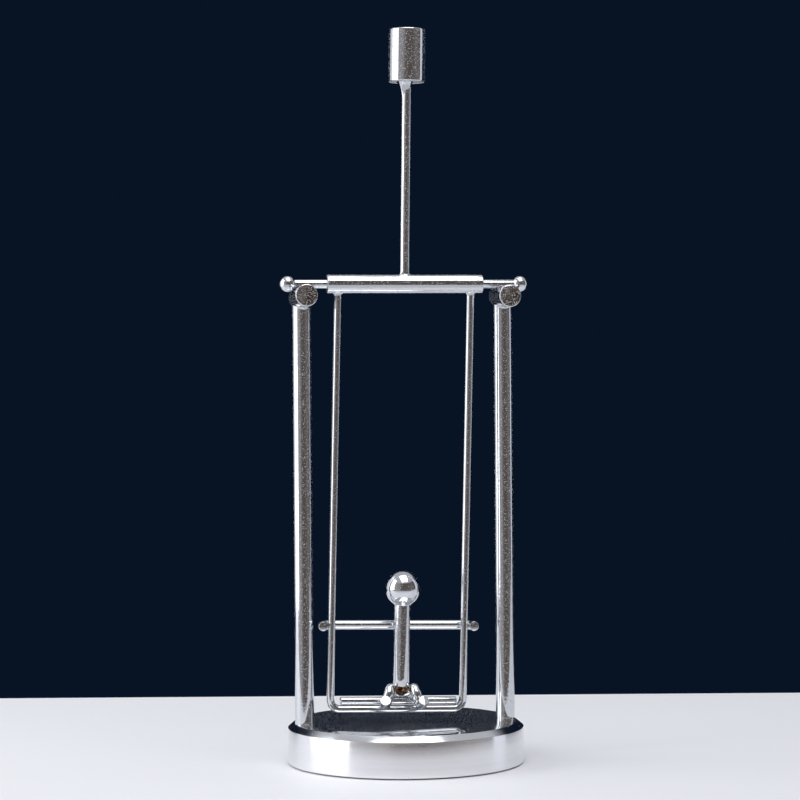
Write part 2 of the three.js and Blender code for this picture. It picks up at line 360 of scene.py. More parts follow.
def layDust(tree, shader, place, look, bareRoughness, dustColour):
    # dust on bare metal: soft-edged specks that are pale, matt and not metal
    dust = addNode(tree, "ShaderNodeTexNoise", {
        "Scale": 1 / (look["dustSize"] * mm), "Detail": 1.0}, {"Vector": place})
    specks = addNode(tree, "ShaderNodeMapRange", {
        "From Min": look["dustFrom"], "From Max": look["dustFrom"] + 0.03}, {"Value": dust.outputs[0]})
    rough = addNode(tree, "ShaderNodeMix", {"data_type": "FLOAT", 3: 0.6},
                    {0: specks.outputs[0], 2: bareRoughness})
    tree.links.new(rough.outputs[0], shader.inputs["Roughness"])
    colour = addNode(tree, "ShaderNodeMix", {
        "data_type": "RGBA", 6: linear(look["colour"]), 7: linear(dustColour)}, {0: specks.outputs[0]})
    tree.links.new(colour.outputs[2], shader.inputs["Base Color"])
    metal = addNode(tree, "ShaderNodeMath", {"operation": "SUBTRACT", 0: 1.0}, {1: specks.outputs[0]})
    tree.links.new(metal.outputs[0], shader.inputs["Metallic"])


def chromePlate(name, look):
    # bright chrome over nickel: a blue-cool mirror that shows the drawn or turned steel
    # below it as faint lines, a fine orange peel, and dust on top
    material, tree, shader, place = startMaterial(name, {
        "Metallic": 1.0, "Base Color": linear(look["colour"]), "Roughness": look["roughness"]})
    stretched = addNode(tree, "ShaderNodeMapping", {"Scale": look["stretch"]}, {"Vector": place})
    lines = addNode(tree, "ShaderNodeTexNoise", {
        "Scale": 1 / (look["lineWidth"] * mm), "Detail": 3.0, "Roughness": 0.6},
        {"Vector": stretched.outputs[0]})
    peel = addNode(tree, "ShaderNodeTexNoise", {
        "Scale": 1 / (look["peelSize"] * mm), "Detail": 2.0, "Roughness": 0.5}, {"Vector": place})
    wipe = addNode(tree, "ShaderNodeTexNoise", {
        "Scale": 1 / (9 * mm), "Detail": 4.0, "Distortion": 0.6}, {"Vector": place})
    smear = addNode(tree, "ShaderNodeMapRange", {
        "From Min": 0.35, "From Max": 0.7,
        "To Min": look["roughness"], "To Max": look["roughness"] + look["smear"]}, {"Value": wipe.outputs[0]})
    layDust(tree, shader, place, look, smear.outputs[0], "#C9CBCD")
    lineBump = addNode(tree, "ShaderNodeBump", {"Strength": 1.0, "Distance": look["lineDepth"] * mm},
                       {"Height": lines.outputs[0]})
    peelBump = addNode(tree, "ShaderNodeBump", {"Strength": 1.0, "Distance": look["peelDepth"] * mm},
                       {"Height": peel.outputs[0], "Normal": lineBump.outputs[0]})
    tree.links.new(peelBump.outputs[0], shader.inputs["Normal"])
    return material


# drawn rod: the die leaves lines along the rod, so they run with its z axis
drawnRod = chromePlate("chromePlatedDrawnRod", dict(
    colour="#D3D6DA", roughness=0.045, smear=0.04, stretch=(1, 1, 0.06), lineWidth=0.5, lineDepth=0.006,
    peelSize=0.9, peelDepth=0.009, dustSize=0.34, dustFrom=0.635))
# bent wire: the same rod, seen too small to show its lines, with the plating's own ripple
bentWire = chromePlate("chromePlatedBentWire", dict(
    colour="#D3D6DA", roughness=0.05, smear=0.04, stretch=(1, 1, 1), lineWidth=0.9, lineDepth=0.003,
    peelSize=1.2, peelDepth=0.01, dustSize=0.3, dustFrom=0.66))
# turned bar: the tool leaves rings round the z axis
turnedBar = chromePlate("chromePlatedTurnedBar", dict(
    colour="#D2D4D8", roughness=0.055, smear=0.05, stretch=(0.05, 0.05, 1), lineWidth=0.3, lineDepth=0.003,
    peelSize=0.9, peelDepth=0.01, dustSize=0.36, dustFrom=0.625))
# sawn end: the blade's scratches stay under the plating and the face is speckled with dust; its dark brownish
# colour is a painted reflection of the dark warm room
sawnEndWithPaintedReflection = chromePlate("chromePlatedSawnEndWithPaintedReflection", dict(
    colour="#8E837A", roughness=0.16, smear=0.2, stretch=(1, 0.7, 1), lineWidth=0.6, lineDepth=0.06,
    peelSize=0.45, peelDepth=0.05, dustSize=0.36, dustFrom=0.59))
# faced end: the coarse cut stays open under thin plating, so the face is pale and nearly matt
facedEnd = chromePlate("chromePlatedFacedEnd", dict(
    colour="#DADBDE", roughness=0.6, smear=0.1, stretch=(1, 1, 1), lineWidth=0.4, lineDepth=0.01,
    peelSize=0.9, peelDepth=0.01, dustSize=0.36, dustFrom=0.62))
# polished ball: tumbled smooth before plating, so only a soft peel is left
polishedBall = chromePlate("chromePlatedPolishedBall", dict(
    colour="#D6D8DC", roughness=0.035, smear=0.03, stretch=(1, 1, 1), lineWidth=2.2, lineDepth=0.003,
    peelSize=1.4, peelDepth=0.002, dustSize=0.32, dustFrom=0.68))
# plated braze: the fillet keeps the lumps that it froze with
platedBraze = chromePlate("chromePlatedBraze", dict(
    colour="#CFD1D5", roughness=0.07, smear=0.08, stretch=(1, 1, 1), lineWidth=0.5, lineDepth=0.012,
    peelSize=0.9, peelDepth=0.02, dustSize=0.3, dustFrom=0.72))


def turnedAluminium(name, look):
    # turned aluminium: rings round the z axis smear each reflection across them
    material, tree, shader, place = startMaterial(name, {
        "Metallic": 1.0, "Base Color": linear(look["colour"]), "Roughness": look["roughness"],
        "Anisotropic": look["smear"], "Anisotropic Rotation": 0.25})
    tangent = addNode(tree, "ShaderNodeTangent", {"direction_type": "RADIAL", "axis": "Z"})
    tree.links.new(tangent.outputs[0], shader.inputs["Tangent"])
    split = addNode(tree, "ShaderNodeSeparateXYZ", {}, {0: place})
    flat = addNode(tree, "ShaderNodeCombineXYZ", {}, {0: split.outputs[0], 1: split.outputs[1]})
    radius = addNode(tree, "ShaderNodeVectorMath", {"operation": "LENGTH"}, {0: flat.outputs[0]})
    ringPlace = addNode(tree, "ShaderNodeCombineXYZ", {}, {0: radius.outputs["Value"], 2: split.outputs[2]})
    rings = addNode(tree, "ShaderNodeTexNoise", {
        "Scale": 1 / (look["feed"] * mm), "Detail": 2.0}, {"Vector": ringPlace.outputs[0]})
    bands = addNode(tree, "ShaderNodeTexNoise", {
        "Scale": 1 / (look["bandWidth"] * mm), "Detail": 2.0}, {"Vector": ringPlace.outputs[0]})
    stain = addNode(tree, "ShaderNodeTexNoise", {"Scale": 1 / (14 * mm), "Detail": 5.0}, {"Vector": place})
    shade = addNode(tree, "ShaderNodeMapRange", {
        "From Min": 0.3, "From Max": 0.7,
        "To Min": look["roughness"] * 0.85, "To Max": look["roughness"] * 1.2}, {"Value": bands.outputs[0]})
    stained = addNode(tree, "ShaderNodeMath", {"operation": "MULTIPLY_ADD", 1: look["stain"], 2: 0.0},
                      {0: stain.outputs[0]})
    summed = addNode(tree, "ShaderNodeMath", {"operation": "ADD"},
                     {0: shade.outputs[0], 1: stained.outputs[0]})
    layDust(tree, shader, place, look, summed.outputs[0], "#D0D2D4")
    bump = addNode(tree, "ShaderNodeBump", {"Strength": 1.0, "Distance": look["depth"] * mm},
                   {"Height": rings.outputs[0]})
    tree.links.new(bump.outputs[0], shader.inputs["Normal"])
    return material


# faced with a diamond tool: a mirror with rings a tenth of a millimetre apart, drawn at a third
facedTop = turnedAluminium("aluminiumFaced", dict(
    colour="#DCDEE2", roughness=0.035, smear=0.7, feed=0.35, bandWidth=3, depth=0.00008, stain=0.02,
    dustSize=0.36, dustFrom=0.64))
# turned and left satin: rings a tenth of a millimetre apart, which spread light up and down
satinSide = turnedAluminium("aluminiumTurned", dict(
    colour="#F0F0F2", roughness=0.19, smear=0.8, feed=0.3, bandWidth=2, depth=0.0008, stain=0.04,
    dustSize=0.4, dustFrom=0.74))
# chamfered last, with a fine cut
cutChamfer = turnedAluminium("aluminiumChamfered", dict(
    colour="#E4E5E8", roughness=0.16, smear=0.6, feed=0.3, bandWidth=1.2, depth=0.0008, stain=0.03,
    dustSize=0.4, dustFrom=0.73))


def bareBraze(name):
    # silver-brass braze that was left unplated: a coppery heat tint, with near-black patches that are a
    # painted reflection of the dark room and pale patches that are a painted highlight
    material, tree, shader, place = startMaterial(name, {"Metallic": 1.0})
    tint = addNode(tree, "ShaderNodeTexNoise", {"Scale": 1 / (1.6 * mm), "Detail": 4.0, "Distortion": 0.8},
                   {"Vector": place})
    # the coppery middle stops are the braze's tint; the darkest stops paint the dark room's reflection and
    # the palest stop paints a highlight
    colour = addNode(tree, "ShaderNodeValToRGB", {}, {"Fac": tint.outputs[0]}, [
        (0.36, linear("#1C1410")), (0.48, linear("#53392A")),
        (0.58, linear("#8F6B4C")), (0.7, linear("#DCC6A2"))])
    tree.links.new(colour.outputs[0], shader.inputs["Base Color"])
    rough = addNode(tree, "ShaderNodeMapRange", {
        "From Min": 0.3, "From Max": 0.7, "To Min": 0.5, "To Max": 0.16}, {"Value": tint.outputs[0]})
    tree.links.new(rough.outputs[0], shader.inputs["Roughness"])
    grain = addNode(tree, "ShaderNodeTexNoise", {"Scale": 1 / (0.5 * mm), "Detail": 3.0}, {"Vector": place})
    bump = addNode(tree, "ShaderNodeBump", {"Strength": 1.0, "Distance": 0.05 * mm},
                   {"Height": grain.outputs[0]})
    tree.links.new(bump.outputs[0], shader.inputs["Normal"])
    return material


hipBrazeWithPaintedReflection = bareBraze("brazeBareTintedWithPaintedReflection")


def blackenedSteel(name):
    # blackened steel: oil-black oxide with a fine tooth and paler rubbed patches
    material, tree, shader, place = startMaterial(name, {"Metallic": 0.9})
    patches = addNode(tree, "ShaderNodeTexNoise", {"Scale": 1 / (2.5 * mm), "Detail": 5.0},
                      {"Vector": place})
    colour = addNode(tree, "ShaderNodeValToRGB", {}, {"Fac": patches.outputs[0]}, [
        (0.35, linear("#1B1C1E")), (0.6, linear("#303236")), (0.8, linear("#6E7073"))])
    tree.links.new(colour.outputs[0], shader.inputs["Base Color"])
    rough = addNode(tree, "ShaderNodeMapRange", {"To Min": 0.62, "To Max": 0.34},
                    {"Value": patches.outputs[0]})
    tree.links.new(rough.outputs[0], shader.inputs["Roughness"])
    tooth = addNode(tree, "ShaderNodeTexNoise", {"Scale": 1 / (0.15 * mm), "Detail": 2.0},
                    {"Vector": place})
    bump = addNode(tree, "ShaderNodeBump", {"Strength": 1.0, "Distance": 0.004 * mm},
                   {"Height": tooth.outputs[0]})
    tree.links.new(bump.outputs[0], shader.inputs["Normal"])
    return material


screwMetal = blackenedSteel("steelBlackened")


def closedFoam(name):
    # closed-cell foam: skived, so cut cells half a millimetre across show as pits
    material, tree, shader, place = startMaterial(name, {
        "Roughness": 0.92, "IOR": 1.5, "Specular IOR Level": 0.3})
    cells = addNode(tree, "ShaderNodeTexVoronoi", {"Scale": 1 / (0.55 * mm)}, {"Vector": place})
    colour = addNode(tree, "ShaderNodeValToRGB", {}, {"Fac": cells.outputs[0]}, [
        (0.0, linear("#0C0D0F")), (0.5, linear("#1D1F22")), (0.9, linear("#2A2C30"))])
    tree.links.new(colour.outputs[0], shader.inputs["Base Color"])
    bump = addNode(tree, "ShaderNodeBump", {"Strength": 0.8, "Distance": 0.12 * mm},
                   {"Height": cells.outputs[0]})
    tree.links.new(bump.outputs[0], shader.inputs["Normal"])
    return material


padFoam = closedFoam("foamClosedCellSkived")
print("materials made")


base = dict(footRadius=0.35, chamferWidth=2.3, chamferDrop=1.8, shoulderBreak=0.12, rimBreak=0.1,
            socketGap=0.08, socketLip=0.25, recessGap=0.15, recessBreak=0.1, screwWell=3.75, wellTop=5.15,
            screwHole=2.15, padEdge=0.3)


def makeBase():
    low, high = sizeOf("base_disc")
    padHigh = sizeOf("base_pad")[1]
    postLow, postHigh = sizeOf("post_left")
    radius, top, foot = high.x, high.z, low.z
    shoulder = top - base["chamferDrop"]
    rim = radius - base["chamferWidth"]
    recess, roof = padHigh.x + base["recessGap"], padHigh.z + base["recessGap"]
    lip, edge = base["recessBreak"], base["footRadius"]
    profile = [(0, roof), (recess, roof), (recess, foot + lip), (recess + lip, foot)]
    profile += arc(radius - edge, foot + edge, edge, -90, 0, 8)
    profile += [(radius, foot + 2), (radius, (foot + shoulder) / 2)]
    edge = base["shoulderBreak"]
    profile += [(radius, shoulder - edge), (radius - edge / 4, shoulder),
                (radius - edge, shoulder + 0.75 * edge)]
    edge = base["rimBreak"]
    profile += [(rim + edge, top - 0.8 * edge), (rim, top - 0.2 * edge), (rim - 1.2 * edge, top)]
    profile += [(30, top), (15, top), (0, top)]  # two more rings keep the top's faces small
    shape = lathe(profile, 256)
    piece = makePiece("baseDisc", [shape], Matrix.Identity(4), [satinSide, facedTop, cutChamfer], "stand",
                      ["base_disc"], crease["base"])
    cutters = []
    for name in ("left", "right"):
        spot = middleOf(f"post_{name}") / mm
        sunk = sizeOf(f"post_{name}")[0].z
        hole = (postHigh.x - postLow.x) / 2 + base["socketGap"]
        lip = base["socketLip"]
        bore = lathe([(0, sunk), (hole, sunk), (hole, top - lip), (hole + lip, top),
                      (hole + lip, top + 1), (0, top + 1)], 96)
        well = lathe([(0, -1), (base["screwWell"], -1), (base["screwWell"], base["wellTop"]),
                      (0, base["wellTop"])], 64)
        through = lathe([(0, 4), (base["screwHole"], 4), (base["screwHole"], sunk + 1), (0, sunk + 1)], 48)
        for verts, faces in (bore, well, through):
            cutters.append(([v + Vector((spot.x, 0, 0)) for v in verts], faces))
    cutAway(piece, cutters, crease["base"])
    for polygon in piece.data.polygons:
        height = polygon.center.z / mm
        if polygon.normal.z > flat and height > top - 0.05:
            polygon.material_index = 1
        elif 0.2 < polygon.normal.z <= flat and height > shoulder - 0.05:
            polygon.material_index = 2


def makePad():
    low, high = sizeOf("base_pad")
    edge = base["padEdge"]
    shape = lathe([(0, low.z)] + arc(high.x - edge, low.z + edge, edge, -90, 0, 4)
                  + [(high.x, high.z - 0.05), (high.x - 0.05, high.z), (0, high.z)], 160)
    makePiece("footPad", [shape], Matrix.Identity(4), padFoam, "stand", ["base_pad"])


makeBase()
makePad()


post = dict(edge=0.2, fitGap=0.04, brazeHeight=0.55, brazeSpread=0.42, brazeSeed=dict(left=2, right=5))
bearing = dict(rim=0.4, groove=1.6, grooveReach=8, faceDish=0.06, dishWidth=0.5, lipWidth=0.15, lipDrop=0.02)
screw = dict(headRadius=3.5, headHeight=3.6, shank=1.9, threadPitch=0.7, threadDepth=0.3, threadLead=0.4,
             keyRadius=1.55, keyDepth=2.0, keyPoint=0.5, edge=0.3, endBreak=0.1)
nearlyAll = 0.99  # how far across a round bar its height is still worked out


def makePost(name):
    low, high = sizeOf(f"post_{name}")
    ends = lineOf(f"bearing_{name}", Vector((0, 1, 0)))
    along = (ends[1] - ends[0]).normalized()
    barRadius = sizeOf(f"bearing_{name}", basisOf(ends[0], along))[1].x
    radius = (high.x - low.x) / 2
    spot = Vector(((low.x + high.x) / 2, 0, 0))
    place = basisOf(spot * mm, (0, 0, 1))
    middle = (ends[0] + ends[1]) / 2
    rise = middle.z / mm
    lean = along.z / along.y

    def saddle(x, y):
        across = min(abs(x), barRadius * nearlyAll)
        return rise + (y - middle.y / mm) * lean - math.sqrt(barRadius ** 2 - across ** 2)

    def fitted(x, y):
        return saddle(x, y) - post["fitGap"]

    # rings up the post, each a radius and the height that it has at x, y; the last five fit the bar
    sides, firstRing, ringStep, ringCount = 96, 5, 8, 18
    verts, faces, rings = [Vector((0, 0, low.z))], [], [[0]]
    levels = [(radius - post["edge"], lambda x, y: low.z), (radius, lambda x, y: low.z + post["edge"])]
    levels += [(radius, lambda x, y, k=k: low.z + firstRing + ringStep * k) for k in range(ringCount)]
    levels += [(radius * k / 5, fitted) for k in (5, 4, 3, 2, 1)]
    for size, level in levels:
        rings.append(list(range(len(verts), len(verts) + sides)))
        for k in range(sides):
            turn = 2 * math.pi * k / sides
            x, y = size * math.cos(turn), size * math.sin(turn)
            verts.append(Vector((x, y, level(x, y))))
    rings.append([len(verts)])
    verts.append(Vector((0, 0, fitted(0, 0))))
    for below, above in zip(rings, rings[1:]):
        faces += bridge(below, above, sides)
    makePiece(f"post{name.title()}", [(verts, faces)], place, drawnRod, "stand", [f"post_{name}"])
    collar = fillet(radius, saddle, post["brazeHeight"], post["brazeSpread"],
                    post["brazeSeed"][name], lump=0.08, sides=96)
    makePiece(f"bearingBraze{name.title()}", [collar], place, platedBraze, "stand", [], sharp=crease["braze"])


def makeBearing(name):
    ends = lineOf(f"bearing_{name}", Vector((0, 1, 0)))
    place = basisOf((ends[0] + ends[1]) / 2, ends[1] - ends[0])
    high = sizeOf(f"bearing_{name}", place)[1]
    radius, half, rim = high.x, high.z, bearing["rim"]
    inner = radius - rim
    face = [(0, half - bearing["faceDish"]), (inner - bearing["dishWidth"], half - bearing["faceDish"]),
            (inner - bearing["lipWidth"], half - bearing["lipDrop"])]
    profile = [(r, -z) for r, z in face] + arc(inner, -half + rim, rim, -90, 0, 5)
    profile += [(radius, k * half / 5) for k in (-3, -1, 1, 3)]
    profile += arc(inner, half - rim, rim, 0, 90, 5) + face[::-1]
    # the bearing's end faces take the sawn-end finish, whose dark brownish colour is a painted reflection of
    # the dark room
    piece = makePiece(f"bearing{name.title()}", [lathe(profile, 128)], place, [turnedBar, sawnEndWithPaintedReflection], "stand",
                      [f"bearing_{name}"], sharp=crease["turned"])
    toLocal = place.inverted()
    middle = toLocal @ Vector((place.translation.x, axleMiddle.y, axleMiddle.z)) / mm
    across = (toLocal.to_3x3() @ Vector((1, 0, 0))).normalized()
    groove, reach = bearing["groove"], bearing["grooveReach"]
    verts, faces = lathe([(0, -reach), (groove, -reach), (groove, reach), (0, reach)], 96)
    turn = basisOf((0, 0, 0), across).to_3x3()
    cutAway(piece, [([turn @ v + middle for v in verts], faces)], crease["turned"])
    finishEnds(piece)


def makeScrew(name):
    low, high = sizeOf(f"post_screw_{name}")
    spot = middleOf(f"post_screw_{name}")
    place = basisOf((spot.x, spot.y, low.z * mm), (0, 0, 1))
    length = high.z - low.z
    wide, head, edge, end = screw["headRadius"], screw["headHeight"], screw["edge"], screw["endBreak"]
    shank, pitch, lead = screw["shank"], screw["threadPitch"], screw["threadLead"]
    root = shank - screw["threadDepth"]
    profile = [(0, 0)] + arc(wide - edge, edge, edge, -90, 0, 4)
    profile += [(wide, head - end), (wide - end, head), (shank, head)]
    for k in range(int((length - head - 2 * lead) / pitch)):
        z = head + lead + k * pitch
        profile += [(root, z), (shank, z + pitch / 2)]
    profile += [(root, length - end), (0, length)]
    piece = makePiece(f"postScrew{name.title()}", [lathe(profile, 64)], place, screwMetal, "stand",
                      [f"post_screw_{name}"])
    key = lathe([(0, -1), (screw["keyRadius"], -1), (screw["keyRadius"], screw["keyDepth"]),
                 (0, screw["keyDepth"] + screw["keyPoint"])], 6)
    cutAway(piece, [key])


for name in ("left", "right"):
    makePost(name)
    makeBearing(name)
    makeScrew(name)
print("stand made")


axle = dict(edge=0.15, ballFit=0.02, drillReach=9)
hub = dict(edge=0.22, boreEdge=0.3, boreGap=0.15)


def makeAxle():
    high = sizeOf("axle_rod", hubBasis)[1]
    radius, half = high.x, high.z
    fit, reach = axle["ballFit"], axle["drillReach"]
    makePiece("axleRod", [roundedRod(radius, -half, half, axle["edge"])], hubBasis, drawnRod, "swing",
              ["axle_rod"])
    for name, side in (("left", -1), ("right", 1)):
        middle = middleOf(f"axle_ball_{name}")
        low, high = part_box(f"axle_ball_{name}")
        size = (high.z - low.z) / 2 / mm
        middle.x = side * half * mm
        place = basisOf(middle, (side, 0, 0), (0, 0, 1))
        endBall = makePiece(f"axleBall{name.title()}", [ballShape(size, 128)], place, polishedBall, "swing",
                            [f"axle_ball_{name}"])
        cutAway(endBall, [lathe([(0, -reach), (radius + fit, -reach), (radius + fit, fit), (0, fit)], 64)])


def makeHub():
    high = sizeOf("hub_tube", hubBasis)[1]
    radius, half = high.x, high.z
    bore = sizeOf("axle_rod", hubBasis)[1].x + hub["boreGap"]
    edge, inner = hub["edge"], hub["boreEdge"]
    profile = [(bore, -half + inner), (bore + inner, -half)]
    profile += arc(radius - edge, -half + edge, edge, -90, 0, 4)
    profile += [(radius, k * half / 9) for k in range(-8, 9)]
    profile += arc(radius - edge, half - edge, edge, 0, 90, 4)
    profile += [(bore + inner, half), (bore, half - inner), (bore, -half + inner)]
    sides = 128
    verts, faces = lathe(profile, sides)
    count = len(verts) - sides  # the last ring is the first again, which closes the bore
    faces = [tuple(i - count if i >= count else i for i in f) for f in faces]
    makePiece("hubTube", [(verts[:count], faces)], hubBasis, turnedBar, "swing", ["hub_tube"],
              sharp=crease["turned"])
    return radius


makeAxle()
hubRadius = makeHub()
print("axle and hub made")


swing = dict(bend=3.2, sunk=0.35, edge=0.1, filletHeight=0.9, filletSpread=0.6)
seat = dict(edge=0.45)


def hubSurface(offset, under=True, basis=swingBasis):
    # height of the hub tube's skin above or below the basis, for a rod standing at x = offset
    slope = basis.inverted().to_3x3() @ Vector((1, 0, 0))

    def surface(x, y):
        line = (offset + x) * slope.z / slope.x
        across = min(abs(y), hubRadius * nearlyAll)
        reach = math.sqrt(hubRadius ** 2 - across ** 2) / abs(slope.x)
        return line - reach if under else line + reach

    return surface


def makeSwingWire():
    low, high = sizeOf("swing_wire", swingBasis)
    radius = (high.y - low.y) / 2
    offset, depth = high.x - radius, -low.z - radius
    left, right = hubSurface(-offset), hubSurface(offset)
    corners = [(-offset, 0, left(0, 0) + swing["sunk"]), (-offset, 0, -depth), (offset, 0, -depth),
               (offset, 0, right(0, 0) + swing["sunk"])]
    wire = sweep(bentLine(corners, swing["bend"]), radius, swing["edge"], 48)
    makePiece("swingWire", [wire], swingBasis, bentWire, "swing", ["swing_wire"])
    for name, x, skin, seed in (("left", -offset, left, 1), ("right", offset, right, 4)):
        collar = fillet(radius, skin, swing["filletHeight"], swing["filletSpread"], seed)
        place = swingBasis @ Matrix.Translation(Vector((x, 0, 0)) * mm)
        makePiece(f"wireBraze{name.title()}", [collar], place, platedBraze, "swing",
                  [f"wire_braze_{name}"], sharp=crease["braze"])


makeSwingWire()


def makeSeat():
    low, high = sizeOf("seat_rod", swingBasis)
    radius = (high.y - low.y) / 2
    place = basisOf(swingBasis @ ((low + high) / 2 * mm), swingX, (0, 0, -1))
    half = (high.x - low.x) / 2
    makePiece("seatRod", [roundedRod(radius, -half, half, seat["edge"])], place, drawnRod, "swing",
              ["seat_rod"])


makeSeat()
print("swing frame made")


figure = dict(neckHeight=0.35, neckSpread=0.35, torsoEdge=0.2, fitGap=0.03, armBend=2.4, armEdge=0.22,
              legRadius=1.8, legRise=3.1, footEdge=0.22)
# one leg's centre line from the hip over the knee, down to the heel and up to the toe:
# spread, forward, rise
legBends = [(0, 1.0, 0), (1.9, 1.1, 0.1), (3.4, 2.2, 1.1), (4.2, 3.6, 1.3), (4.7, 4.9, -0.1),
            (5.3, 5.2, -2.0), (6.0, 6.3, -3.6), (6.4, 7.9, -2.9), (6.6, 9.5, -1.8)]


headMiddle = swingBasis.inverted() @ middleOf("head_ball") / mm
seatLow, seatHigh = sizeOf("seat_rod", swingBasis)
hip = Vector((headMiddle.x, 0, (seatLow.z + seatHigh.z) / 2 + figure["legRise"]))


def makeHead():
    low, high = sizeOf("head_ball", swingBasis)
    radius = (high.z - low.z) / 2
    place = swingBasis @ Matrix.Translation(headMiddle * mm)
    makePiece("headBall", [ballShape(radius, 160)], place, polishedBall, "swing", ["head_ball"])
    return radius


def makeTorso(headRadius):
    low, high = sizeOf("torso_rod", swingBasis)
    radius, edge, gap = (high.x - low.x) / 2, figure["torsoEdge"], figure["fitGap"]
    top = headMiddle.z

    def underHead(x, y):
        return top - math.sqrt(max(headRadius ** 2 - x * x - y * y, 0.01))

    neck = underHead(radius, 0)
    profile = [(0, low.z)] + arc(radius - edge, low.z + edge, edge, -90, 0, 4)
    profile += [(radius, low.z + (neck - low.z) * k / 10) for k in range(1, 10)]
    profile += [(radius * k / 6, underHead(radius * k / 6, 0) - gap) for k in range(6, -1, -1)]
    place = swingBasis @ Matrix.Translation(Vector((headMiddle.x, headMiddle.y, 0)) * mm)
    torso = makePiece("torsoRod", [lathe(profile, 96)], place, drawnRod, "swing", ["torso_rod"])
    collar = fillet(radius, underHead, figure["neckHeight"], figure["neckSpread"], 7, lump=0.08, sides=96)
    makePiece("neckBraze", [collar], place, platedBraze, "swing", [], sharp=crease["braze"])
    return torso


def makeArms():
    low, high = sizeOf("arm_wire", swingBasis)
    radius = (high.z - low.z) / 2
    reach, depth = high.x - radius, (low.z + high.z) / 2
    back, front = high.y - radius, low.y
    corners = [(-reach, front, depth), (-reach, back, depth), (reach, back, depth), (reach, front, depth)]
    wire = sweep(bentLine(corners, figure["armBend"]), radius, figure["armEdge"], 48)
    makePiece("armWire", [wire], swingBasis, bentWire, "swing", ["arm_wire"])


def makeLegs(torso):
    half = [Vector((x, -forward, rise)) for x, forward, rise in legBends]
    points = [Vector((-p.x, p.y, p.z)) for p in half[:0:-1]] + half
    line = [p + hip for p in smoothLine(points, 12)]
    makePiece("legWire", [sweep(line, figure["legRadius"], figure["footEdge"], 64)], swingBasis, bentWire,
              "swing", ["leg_wire"])
    # the torso is notched to sit over the legs
    saddle = [p - Vector((headMiddle.x, headMiddle.y, 0)) for p in line]
    cutAway(torso, [sweep(saddle, figure["legRadius"] + figure["fitGap"], figure["footEdge"], 64)])


hipLump = dict(wide=2.75, deep=2.7, tall=2.2, rise=0.9, swell=0.1, pimple=0.05)


def makeHip():
    # the lump of braze that fills between the body and the legs
    place = swingBasis @ Matrix.Translation(Vector((headMiddle.x, headMiddle.y, hip.z)) * mm)
    verts, faces = ballShape(1, 96)
    lumpy = []
    for v in verts:
        size = 1 + hipLump["swell"] * noise.noise(v * 1.7 + Vector((4, 2, 1)))
        size += hipLump["pimple"] * noise.noise(v * 4)
        lumpy.append(Vector((v.x * hipLump["wide"] * size, v.y * hipLump["deep"] * size,
                             v.z * hipLump["tall"] * size + hipLump["rise"])))
    makePiece("hipBraze", [(lumpy, faces)], place, hipBrazeWithPaintedReflection, "swing", ["hip_braze"], crease["lump"])


torsoPiece = makeTorso(makeHead())
makeArms()
makeLegs(torsoPiece)
makeHip()
print("figure made")


balance = dict(rodSunk=0.3, rodEndDrop=0.2, rodEndBreak=0.15, rodFilletHeight=1.1, rodFilletSpread=0.8,
               weightEdge=0.4, socketGap=0.03, socketRoom=0.1, weightFilletHeight=2.6, weightFilletSpread=1.6,
               filletLean=0.62, filletHollow=0.2)


def makeUpperRod():
    low, high = sizeOf("upper_rod", balanceBasis)
    radius = (high.y - low.y) / 2
    skin = hubSurface(0, False, balanceBasis)
    start, bottom = skin(0, 0), skin(0, 0) - balance["rodSunk"]
    rise = high.z - balance["rodEndDrop"] - start
    side = [(radius, start + rise * k / 12) for k in range(1, 13)]
    end = [(radius - balance["rodEndBreak"], high.z), (0, high.z)]
    rod = lathe([(0, bottom), (radius, bottom)] + side + end, 64)
    makePiece("upperRod", [rod], balanceBasis, drawnRod, "swing", ["upper_rod"])

    def hubFromAbove(x, y):
        return -skin(x, y)

    collar = fillet(radius, hubFromAbove, balance["rodFilletHeight"], balance["rodFilletSpread"], 9)
    collar = ([Vector((v.x, v.y, -v.z)) for v in collar[0]], collar[1])
    makePiece("rodBraze", [collar], balanceBasis, platedBraze, "swing", ["rod_braze"], sharp=crease["braze"])
    return radius, high.z


def makeWeight(radius, rodTop):
    low, high = sizeOf("counterweight", balanceBasis)
    size, edge = high.x, balance["weightEdge"]
    profile = [(0, low.z + 0.02)] + [(size * k / 5, low.z) for k in (1, 2, 3, 4)]
    profile += arc(size - edge, low.z + edge, edge, -90, 0, 5)
    profile += [(size, low.z + (high.z - low.z) * k / 8) for k in range(1, 8)]
    profile += arc(size - edge, high.z - edge, edge, 0, 90, 5)
    profile += [(size * k / 5, high.z) for k in (4, 3, 2, 1)] + [(0, high.z)]
    piece = makePiece("counterweightBar", [lathe(profile, 160)], balanceBasis, [turnedBar, facedEnd],
                      "swing", ["counterweight"], sharp=crease["turned"])
    hole, roof = radius + balance["socketGap"], rodTop + balance["socketRoom"]
    cutAway(piece, [lathe([(0, low.z - 1), (hole, low.z - 1), (hole, roof), (0, roof)], 64)],
            crease["turned"])
    finishEnds(piece)
    collar = fillet(radius, lambda x, y: low.z, balance["weightFilletHeight"],
                    balance["weightFilletSpread"], 12, lean=balance["filletLean"],
                    hollow=balance["filletHollow"])
    makePiece("weightBraze", [collar], balanceBasis, platedBraze, "swing", ["weight_braze"],
              sharp=crease["braze"])


makeWeight(*makeUpperRod())
print("counterweight made")


camera = dict(distance=849.9, azimuth=-10.716, height=131.69, yaw=-0.079, pitch=-0.595, roll=-0.413,
              lens=112.70, sensor=36.0)
# level directions as the camera sees them, for the camera, the table and the lights
turn = math.radians(camera["azimuth"])
ahead = Vector((-math.sin(turn), math.cos(turn), 0))
toRight = Vector((math.cos(turn), math.sin(turn), 0))
up = Vector((0, 0, 1))


